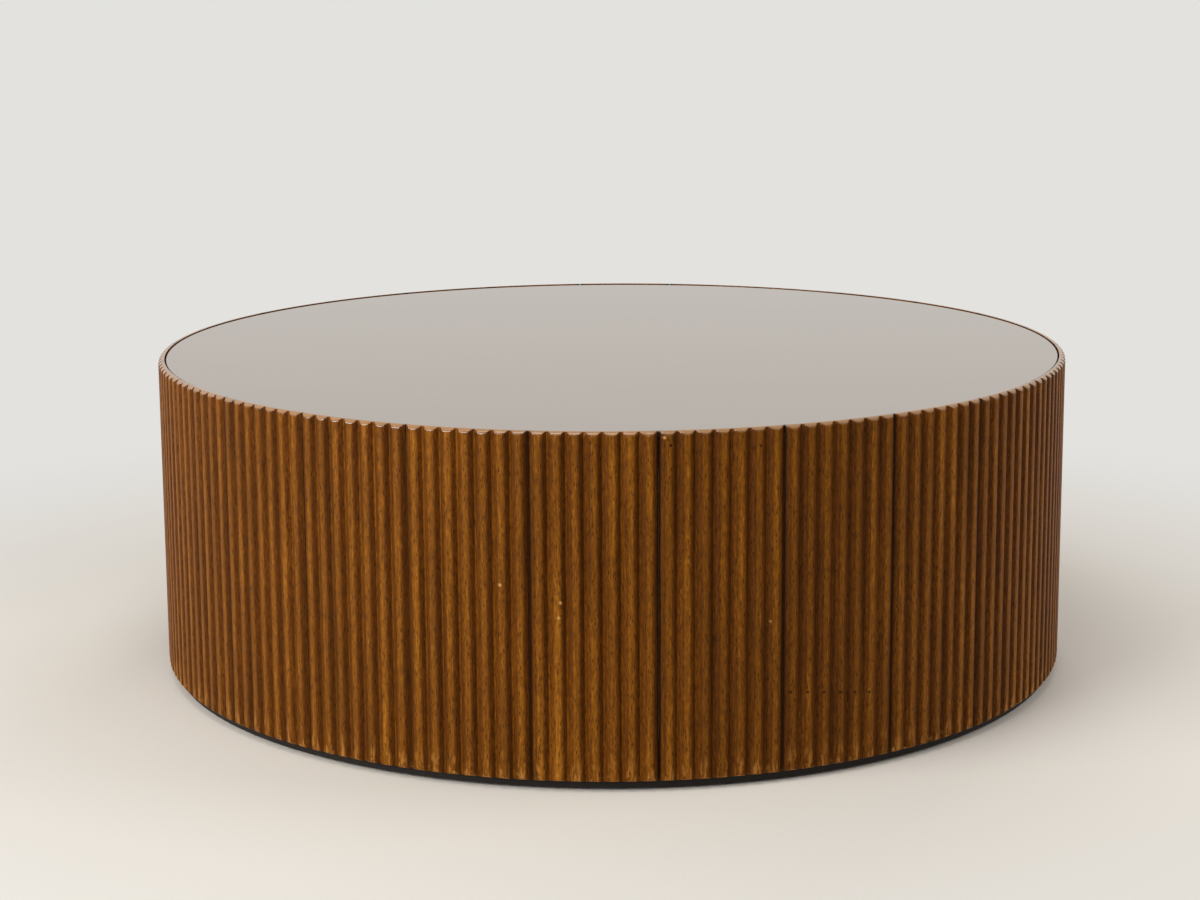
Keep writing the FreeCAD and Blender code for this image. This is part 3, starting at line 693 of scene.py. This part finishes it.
def reed_half(wall, half_width, rise):
    """Points of half a reed from its foot to the end of its shoulder, as (across, out), and the crown's radius."""
    grade = math.tan(wall.flank_slope)
    shoulder_width = wall.shoulder * (math.sin(wall.flank_slope) - math.sin(wall.crown_slope))
    shoulder_rise = wall.shoulder * (math.cos(wall.crown_slope) - math.cos(wall.flank_slope))
    crown = (((half_width - shoulder_width) * grade - rise + shoulder_rise)
             / (math.sin(wall.crown_slope) * grade - 1 + math.cos(wall.crown_slope)))
    flank = half_width - shoulder_width - crown * math.sin(wall.crown_slope)
    centre = (wall.shoulder * math.sin(wall.flank_slope) + flank - half_width,
              flank * grade - wall.shoulder * math.cos(wall.flank_slope))
    points = [(-half_width, 0), (flank / 2 - half_width, flank * grade / 2)]
    for i in range(SHOULDER_STEPS + 1):
        slope = wall.flank_slope + (wall.crown_slope - wall.flank_slope) * i / SHOULDER_STEPS
        points.append((centre[0] - wall.shoulder * math.sin(slope), centre[1] + wall.shoulder * math.cos(slope)))
    return points, crown


def stave_columns(wall):
    """Columns round a stave's outline, counter-clockwise, as (point, kind, reed, place across the reed)."""
    valley_radius = CROWN_RADIUS - wall.reed_depth

    def seam_angle(radius, off_seam):
        return STAVE_PITCH / 2 - math.asin(off_seam / radius)

    reach = seam_angle(valley_radius, wall.seam_gap / 2)
    reed_angle = 2 * reach / wall.reeds
    half_angle = reed_angle / 2 - wall.quirk / 2 / valley_radius
    foot_radius = valley_radius * math.cos(half_angle)
    rise = CROWN_RADIUS - foot_radius
    left, crown = reed_half(wall, valley_radius * math.sin(half_angle), rise)
    middle = []
    for i in range(1, CROWN_STEPS):
        slope = wall.crown_slope * (1 - 2 * i / CROWN_STEPS)
        middle.append((-crown * math.sin(slope), rise - crown + crown * math.cos(slope)))
    reed = left + middle + [(-x, y) for x, y in reversed(left)]

    columns = [((valley_radius, -reach, 0), "outer", 0, 1)]
    for i in range(wall.reeds):
        turn = -reach + (i + 0.5) * reed_angle
        for x, y in reed:
            off_crown = math.atan2(x, foot_radius + y)
            point = (math.hypot(foot_radius + y, x), turn + off_crown, 0)
            columns.append((point, "outer", i, abs(off_crown) / (reed_angle / 2)))
    columns.append(((valley_radius, reach, 0), "outer", wall.reeds - 1, 1))

    slot_middle = valley_radius - wall.spline_inset
    slot = []
    for off, inwards in ((wall.spline_slot / 2, (0, 1)), (-wall.spline_slot / 2, (1, 0))):
        radius = slot_middle + off
        edge = seam_angle(radius, wall.seam_gap / 2)
        slot += [(radius, edge, (seam_angle(radius, wall.spline_reach) - edge) * part) for part in inwards]
    back_reach = seam_angle(STAVE_BACK, wall.seam_gap / 2)
    back = [(STAVE_BACK, back_reach * (1 - 2 * i / BACK_STEPS), 0) for i in range(BACK_STEPS + 1)]
    other_slot = [(r, -a, -s) for r, a, s in reversed(slot)]
    for points, kind in ((slot, "seam"), (back, "back"), (other_slot, "seam")):
        columns += [(point, kind, 0, 1) for point in points]
    return columns


def stave_rows(wall, marks):
    """Rows up a stave, from the top down, as ((outer limit, back, height), back is round, slot is open)."""
    heights = [EVEN_FOOT + (EVEN_TOP - EVEN_FOOT) * i / EVEN_ROWS for i in range(1, EVEN_ROWS)]
    for edge, way, round_off in ((WALL_FOOT, 1, wall.foot_round), (WALL_TOP, -1, wall.top_round)):
        bends = [round_off * (1 - math.cos(math.pi / 2 * i / ROUND_STEPS)) for i in range(ROUND_STEPS + 1)]
        heights += [edge + way * d for d in bends + [round_off + d * MM for d in NEAR_ROWS]]
    for mark in marks:
        heights += [mark.z + wall.dent_radius * i / DENT_STEPS for i in range(-DENT_STEPS, DENT_STEPS + 1)]

    ring_top = BASE_RING[1].z + wall.housing_ease
    slot_low, slot_high = BASE_RING[1].z + wall.spline_stop, TOP_PANEL[0].z - wall.spline_stop
    housed = STAVE_BACK + wall.housing
    bands = [(WALL_FOOT, BASE_RING[0].z, STAVE_BACK, 0, 0), (BASE_RING[0].z, ring_top, housed, 0, 0),
             (ring_top, slot_low, STAVE_BACK, 0, 0), (slot_low, slot_high, STAVE_BACK, 0, 1),
             (slot_high, TOP_PANEL[0].z, STAVE_BACK, 0, 0), (TOP_PANEL[0].z, TOP_PANEL[1].z, housed, 0, 0),
             (TOP_PANEL[1].z, WALL_TOP, MIRROR_RADIUS + wall.mirror_room, 1, 0)]
    rows = []
    for bottom, top, back, is_round, is_open in bands:
        inside = [z for z in heights if bottom + ROW_ROOM < z < top - ROW_ROOM]
        for z in sorted({bottom, top, *inside}):
            round_off = wall.foot_round if z < (WALL_FOOT + WALL_TOP) / 2 else wall.top_round
            short = max(0, round_off - min(z - WALL_FOOT, WALL_TOP - z))
            limit = CROWN_RADIUS - round_off + math.sqrt(max(0, round_off ** 2 - short ** 2))
            rows.append(((limit, back, z), is_round, is_open))
    rows.reverse()
    return rows


def on_wall(marks):
    """Places on the crowns' circle."""
    spots = []
    for degrees, height in marks:
        turn = FRONT + math.radians(degrees)
        spots.append(Vector((CROWN_RADIUS * math.cos(turn), CROWN_RADIUS * math.sin(turn), height * MM)))
    return spots


class DRUM_OT_staves(bpy.types.Operator):
    """Make the reeded staves of the wall"""
    bl_idname = "drum.staves"
    bl_label = "Staves"

    def execute(self, context):
        wall = context.scene.drum_wall
        tree = stave_tree()
        satin = stained_mahogany("mahogany_moulded_stained_satin_lacquer", wall, 0.0, {"Specular IOR Level": 0.07})
        # The rim's own material: more gloss, and a pale tone that is partly rubbed finish and partly painted light
        rim = stained_mahogany("mahogany_rim_rubbed_and_lit_lacquer", wall, 0.75,
                               {"Specular IOR Level": 0.4, "Coat Weight": 0.45, "Coat Roughness": 0.06})
        points, kinds, reeds, across = map(list, zip(*stave_columns(wall)))
        knocks, chips = on_wall(KNOCKS), on_wall(CHIPS)
        knock_set, chip_set = point_set("knocks", knocks), point_set("chips", chips)
        for number, node in enumerate(STAVE_NODES):
            turn = FRONT + number * STAVE_PITCH
            facing = Vector((math.cos(turn), math.sin(turn)))
            marks = [m for m in knocks + chips if m.xy.angle(facing) < STAVE_PITCH / 2]
            corners, is_round, is_open = map(list, zip(*stave_rows(wall, marks)))
            no_rows, no_columns = [0] * len(corners), [0] * len(points)
            traits = {
                "round_back": is_round + no_columns,
                "slot_open": is_open + no_columns,
                "is_back": no_rows + [int(k == "back") for k in kinds],
                "is_seam": no_rows + [int(k == "seam") for k in kinds],
                "reed": no_rows + reeds,
                "across": no_rows + across,
            }
            piece = shaped(f"reeded_{node}", tree, corners + points, {
                "Rows": len(corners), "Turn": turn, "Board": number, "Unevenness": wall.unevenness,
                "Nick Depth": wall.nick_depth, "Foot": WALL_FOOT, "Top": WALL_TOP, "Knocks": knock_set,
                "Chips": chip_set, "Knock Radius": wall.dent_radius, "Knock Depth": wall.dent_depth,
                "Half Pitch": STAVE_PITCH / 2, "Left Seam Shade": SEAM_SHADE[number % len(SEAM_SHADE)],
                "Right Seam Shade": SEAM_SHADE[(number + 1) % len(SEAM_SHADE)],
                "Material": satin, "Rim Material": rim}, traits)
            settle(piece, "drum", "stained_wood", node)
        drop(knock_set)
        drop(chip_set)
        return {"FINISHED"}


def turned_set(name, section, places, segments, material, edge=None, under=None, recess=(0, 0, 0, 0)):
    """Turned pieces of one kind at their places, as one object; recess is length, width, depth and height."""
    helper = point_set(name + "_places", places)
    tree = bpy.data.node_groups.get("turned_piece") or turned_tree()
    values = dict(zip(("Recess Length", "Recess Width", "Recess Depth", "Recess Height"), map(float, recess)))
    values.update({"Places": helper, "Segments": segments, "Material": material,
                   "Edge Material": edge or material, "Under Material": under or material})
    piece = shaped(name, tree, [(r, 0, z) for r, z in section], values)
    drop(helper)
    return piece


def ring_of(count, radius, start, height=0):
    """Places evenly round the drum's axis."""
    turns = [start + 2 * math.pi * i / count for i in range(count)]
    return [(radius * math.cos(t), radius * math.sin(t), height) for t in turns]


class DRUM_OT_mirror(bpy.types.Operator):
    """Make the loose mirror with its ground edge"""
    bl_idname = "drum.mirror"
    bl_label = "Mirror"

    def execute(self, context):
        mirror = context.scene.drum_mirror
        bottom, top = MIRROR[0].z, MIRROR[1].z
        rim = MIRROR_RADIUS - mirror.arris
        section = [(0, top), (rim, top), (MIRROR_RADIUS, top - mirror.arris),
                   (MIRROR_RADIUS, bottom + mirror.arris), (rim, bottom), (0, bottom)]
        # Grey paint rolled over the silvering: dull, with a faint orange peel
        paint = speckled("mirror_backing_paint", mirror.backing, 3, 0.6, {"Specular IOR Level": 0.3}, 0.88)
        piece = turned_set("mirror_disc", section, [(0, 0, 0)], MIRROR_FACETS, bronze_mirror(mirror),
                           ground_edge(mirror), paint)
        settle(piece, "mirror", "tinted_mirror", "mirror_glass")
        return {"FINISHED"}


class DRUM_OT_felt(bpy.types.Operator):
    """Make the felt dots under the mirror"""
    bl_idname = "drum.felt"
    bl_label = "Felt Dots"

    def execute(self, context):
        joinery = context.scene.drum_joinery
        low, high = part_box("mirror_pads")
        radius = joinery.felt_dot / 2
        outer = high.y - radius
        soft = 0.4 * MM
        section = [(0, high.z), (radius - soft, high.z), (radius, high.z - soft), (radius, low.z), (0, low.z)]
        places = [(0, 0, 0)] + ring_of(INNER_DOTS, outer / 2, FRONT) + ring_of(OUTER_DOTS, outer, FRONT)
        # Pressed wool: dull and fuzzy. Its fibres are far finer, and are drawn as 0.8 mm tufts so that they show.
        felt = speckled("wool_felt_pressed", joinery.felt, 0.8, 0.9,
                        {"Sheen Weight": 0.4, "Sheen Roughness": 0.5, "Specular IOR Level": 0.1}, 0.55)
        settle(turned_set("felt_dots", section, places, FELT_FACETS, felt), "drum", "felt", "mirror_pads")
        return {"FINISHED"}


class DRUM_OT_top(bpy.types.Operator):
    """Finish the top panel and its battens"""
    bl_idname = "drum.top"
    bl_label = "Top Panel and Battens"

    def execute(self, context):
        joinery = context.scene.drum_joinery
        coat(birch_plywood(joinery), "top_panel")
        # Planed pine: pale, with darker late wood about every 5 mm across the grain
        for node, size in (("batten_x", (260, 5, 9)), ("batten_y", (5, 260, 9))):
            coat(plain_wood("pine_planed_" + node[-1], (joinery.pine, joinery.pine_ring), size, 0.62), node)
        return {"FINISHED"}


class DRUM_OT_base(bpy.types.Operator):
    """Finish the base ring, its dowels, the splines and the plinth"""
    bl_idname = "drum.base"
    bl_label = "Base Ring and Plinth"

    def execute(self, context):
        joinery = context.scene.drum_joinery
        plywood = bpy.data.materials.get("birch_plywood_sanded") or birch_plywood(joinery)
        coat(plywood, *RING_NODES, "stave_splines")
        # Turned beech, left bare: even pinkish tan
        coat(plain_wood("beech_turned", (joinery.beech, dimmed(joinery.beech, 0.7)), (3, 3, 3), 0.6), "ring_dowels")
        # Beech stained black, and darker still as painted shade for the gap under the wall: nearly no grain shows,
        # only a low sheen
        coat(plain_wood("beech_stained_black_painted_shade", (joinery.black_stain_and_shade, dimmed(joinery.black_stain_and_shade, 1.9)), (6, 6, 2), 0.55,
                        {"Specular IOR Level": 0.25}), *PLINTH_NODES)
        return {"FINISHED"}


def zinc_plate(joinery):
    """Bright zinc plating on steel: pale metal with a faint cloudy bloom."""
    return (bpy.data.materials.get("steel_zinc_plated")
            or speckled("steel_zinc_plated", joinery.zinc, 1.5, 0.32, {"Metallic": 1.0}))


class DRUM_OT_screws(bpy.types.Operator):
    """Make the countersunk screws of the battens and the plinth"""
    bl_idname = "drum.screws"
    bl_label = "Screws"

    def execute(self, context):
        joinery = context.scene.drum_joinery
        head, shank = joinery.screw_head / 2, joinery.screw_shank / 2
        broken = 0.2 * MM  # edge of the head
        cross = (0.55 * joinery.screw_head, 1 * MM, 1.6 * MM)  # length, width and depth of the driver's recess
        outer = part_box("batten_screws")[1].x - head
        batten = [(s * d, 0, 0) for s in (-1, 1) for d in (joinery.batten_screw, outer)]
        batten += [(y, x, z) for x, y, z in batten]
        spread = joinery.plinth_pair / joinery.plinth_circle
        middle = FRONT + math.pi / len(RING_NODES)
        plinth = []
        for side in (-1, 1):
            plinth += ring_of(len(RING_NODES), joinery.plinth_circle, middle + side * spread)
        for node, name, places in (("batten_screws", "batten_screw_set", batten),
                                   ("plinth_screws", "plinth_screw_set", plinth)):
            low, high = (corner.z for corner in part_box(node))
            section = [(0, high), (shank, high - joinery.screw_point), (shank, low + joinery.screw_head_depth),
                       (head, low + broken), (head - broken, low), (0, low)]
            piece = turned_set(name, section, places, SCREW_FACETS, zinc_plate(joinery), recess=(*cross, low))
            settle(piece, "drum", "zinc_steel", node)
        return {"FINISHED"}


class DRUM_OT_glides(bpy.types.Operator):
    """Make the glides under the plinth and their nails"""
    bl_idname = "drum.glides"
    bl_label = "Glides"

    def execute(self, context):
        joinery = context.scene.drum_joinery
        low, high = (corner.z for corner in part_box("glide_pads"))
        nail_low, nail_high = (corner.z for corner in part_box("glide_nails"))
        radius, head, shank = joinery.glide / 2, joinery.nail_head / 2, joinery.nail_shank / 2
        places = ring_of(len(RING_NODES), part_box("glide_pads")[1].y - radius, FRONT)
        seat = nail_low + joinery.nail_head_thickness
        ease = 0.1 * MM  # round the nail
        well, hole = head + ease, shank + ease
        soft, bend, mouth = 0.7 * MM, 0.21 * MM, 0.4 * MM  # moulded edges
        glide = [(hole, high), (radius, high), (radius, low + soft), (radius - bend, low + bend),
                 (radius - soft, low), (well + mouth, low), (well, low + mouth), (well, seat), (hole, seat),
                 (hole, high)]
        # Moulded nylon: off-white and waxy. Its texture is drawn at 0.7 mm so that it shows.
        nylon = speckled("nylon_moulded", joinery.nylon, 0.7, 0.45, {"IOR": 1.53}, 0.9)
        settle(turned_set("glide_set", glide, places, GLIDE_FACETS, nylon), "drum", "nylon", "glide_pads")
        nail = [(0, nail_high), (shank, nail_high - joinery.nail_point), (shank, seat), (head, seat)]
        dome = 0.6 * joinery.nail_head_thickness
        for i in range(DOME_STEPS, -1, -1):
            turn = math.pi / 2 * i / DOME_STEPS
            nail.append((head * math.sin(turn), nail_low + dome * (1 - math.cos(turn))))
        piece = turned_set("nail_set", nail, places, SCREW_FACETS, zinc_plate(joinery))
        settle(piece, "drum", "zinc_steel", "glide_nails")
        return {"FINISHED"}


# Stage

def seen_directly(put):
    """1 for a ray that reaches the backdrop from the camera or by way of glass or polish."""
    path = put("ShaderNodeLightPath")
    seen = path.outputs["Is Camera Ray"]
    for ray in ("Is Glossy Ray", "Is Transmission Ray"):
        seen = put(MATH, [seen, path.outputs[ray]], "MAXIMUM")
    return seen


def matt_floor(stage):
    """Matt painted floor: even and pale, running out into the backdrop's own tone."""
    material, put, shader, place = blank("studio_floor_matt_paint")
    grit = pattern(put, place, NOISE, (4, 4, 4), Detail=2.0)
    shade = ramp(put, grit, [(0.2, dimmed(stage.floor, 0.97)), (0.8, stage.floor)])
    fill(shader, {"Base Color": shade, "Roughness": 0.9, "Specular IOR Level": 0.1})
    far = put(VECTOR, [place], "LENGTH").outputs["Value"]
    fade = put(RANGE, {"Value": far, "From Min": FADE_START, "From Max": FADE_END},
               interpolation_type="SMOOTHSTEP")
    share = put(MATH, [fade, seen_directly(put)], "MULTIPLY")
    glow = put("ShaderNodeEmission", {"Color": stage.background, "Strength": 1.0})
    blended = put("ShaderNodeMixShader", [share, shader, glow])
    output = next(n for n in material.node_tree.nodes if n.type == "OUTPUT_MATERIAL")
    fill(output, {"Surface": blended})
    return material


def softbox(name, place, size, watts, glossy):
    """Rectangular lamp at a place, facing the drum, that polish shows or not."""
    lamp = bpy.data.lights.new(name, "AREA")
    lamp.shape = "RECTANGLE"
    lamp.size, lamp.size_y = size
    lamp.energy = watts
    box = bpy.data.objects.new(name, lamp)
    box.location = place
    box.rotation_euler = (LAMP_AIM - Vector(place)).to_track_quat("-Z", "Y").to_euler()
    box.visible_glossy = glossy
    bpy.context.scene.collection.objects.link(box)


class DRUM_OT_stage(bpy.types.Operator):
    """Make the floor, the light and the camera"""
    bl_idname = "drum.stage"
    bl_label = "Stage"

    def execute(self, context):
        scene = context.scene
        stage = scene.drum_stage
        floor_mesh = bpy.data.meshes.new("floor")
        floor_mesh.from_pydata(ring_of(FLOOR_CORNERS, FLOOR_RADIUS, 0), [], [list(range(FLOOR_CORNERS))])
        floor = bpy.data.objects.new("floor", floor_mesh)
        scene.collection.objects.link(floor)
        floor_mesh.materials.append(matt_floor(stage))

        world = bpy.data.worlds.new("studio")
        scene.world = world
        world.use_nodes = True
        world.node_tree.nodes.clear()
        put = partial(add, world.node_tree)
        even = put("ShaderNodeBackground", {"Color": (1, 1, 1, 1), "Strength": stage.sky})
        shown = put("ShaderNodeBackground", {"Color": stage.background, "Strength": 1.0})
        mixed = put("ShaderNodeMixShader", [seen_directly(put), even, shown])
        put("ShaderNodeOutputWorld", {"Surface": mixed})

        softbox("window", (-2.2, -2.05, 1.3), (2.4, 1.5), stage.window, True)
        softbox("side", (3.0, 0, 1.3), (1.8, 1.4), stage.side, False)
        softbox("overhead", (-0.3, -1.06, 2.6), (1.2, 1.2), stage.overhead, True)
        softbox("behind", (0.9, 2.7, 2.2), (1.8, 1.4), stage.behind, False)

        lens = bpy.data.cameras.new("camera")
        lens.sensor_width = 36
        lens.lens = stage.lens
        lens.shift_x, lens.shift_y = stage.shift
        camera = bpy.data.objects.new("camera", lens)
        scene.collection.objects.link(camera)
        tilt = (Matrix.Rotation(-stage.yaw, 4, "Z") @ Matrix.Rotation(math.pi / 2 - stage.pitch, 4, "X")
                @ Matrix.Rotation(stage.roll, 4, "Z"))
        stand = Matrix.Translation((0, -stage.distance, stage.height))
        camera.matrix_world = Matrix.Rotation(stage.bearing, 4, "Z") @ stand @ tilt
        scene.camera = camera
        scene.view_settings.view_transform = "Standard"
        return {"FINISHED"}


class DRUM_PT_table(bpy.types.Panel):
    """Makers of the drum table's pieces, with their sizes and colours"""
    bl_idname = "DRUM_PT_table"
    bl_label = "Drum Table"
    bl_space_type = "VIEW_3D"
    bl_region_type = "UI"
    bl_category = "Drum Table"

    def draw(self, context):
        for maker in MAKERS:
            self.layout.operator(maker.bl_idname)
        for name, group in SETTINGS.items():
            box = self.layout.box()
            for key in group.__annotations__:
                box.prop(getattr(context.scene, name), key)


MAKERS = (DRUM_OT_staves, DRUM_OT_mirror, DRUM_OT_felt, DRUM_OT_top, DRUM_OT_base, DRUM_OT_screws, DRUM_OT_glides,
          DRUM_OT_stage)
SETTINGS = {"drum_wall": DrumWall, "drum_mirror": DrumMirror, "drum_joinery": DrumJoinery, "drum_stage": DrumStage}
CLASSES = (*SETTINGS.values(), *MAKERS, DRUM_PT_table)


def register():
    for item in CLASSES:
        bpy.utils.register_class(item)
    for name, group in SETTINGS.items():
        setattr(bpy.types.Scene, name, PointerProperty(type=group))


def unregister():
    for name in SETTINGS:
        delattr(bpy.types.Scene, name)
    for item in reversed(CLASSES):
        bpy.utils.unregister_class(item)


def main():
    register()
    bpy.ops.drum.staves()
    bpy.ops.drum.mirror()
    bpy.ops.drum.felt()
    bpy.ops.drum.top()
    bpy.ops.drum.base()
    bpy.ops.drum.screws()
    bpy.ops.drum.glides()
    bpy.ops.drum.stage()


if __name__ == "__main__":
    main()
